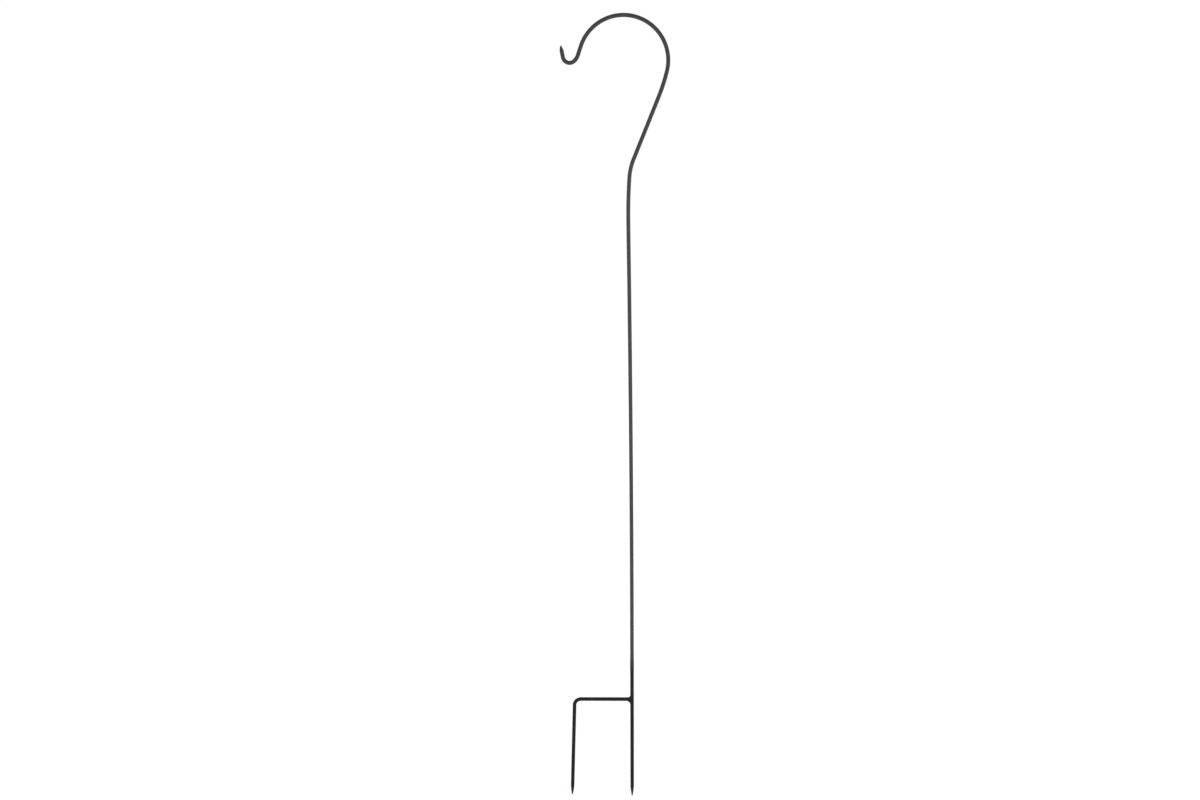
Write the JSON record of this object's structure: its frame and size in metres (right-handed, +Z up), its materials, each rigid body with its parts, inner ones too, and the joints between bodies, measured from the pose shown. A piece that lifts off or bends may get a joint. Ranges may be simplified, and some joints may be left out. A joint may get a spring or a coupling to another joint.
{
  "type": "hanging plant stand",
  "caption": "Tall round-rod garden crook that hangs a plant basket from a small forged hook and stands on a welded ground fork pushed into the soil.",
  "frame": {"origin": "on the axis of the fork's upright at soil level, which is the underside of the cross bar", "axes": "+Z up along the pole, -X towards the hook and the side prong, +Y to the back; the stand lies in the XZ plane"},
  "size_m": [0.2144, 0.0086, 1.7399],
  "materials": {
    "pole_coat": "satin dark grey powder coat",
    "fork_coat": "satin powder coat, a shade darker than the pole's",
    "stud_steel": "bright zinc plate"
  },
  "bodies": {
    "root": {"crook_pole": "pole_coat", "joint_stud": "stud_steel", "fork_upright": "fork_coat", "fork_prong": "fork_coat", "weld_above_bar": "fork_coat", "weld_below_bar": "fork_coat"}
  },
  "joints": []
}
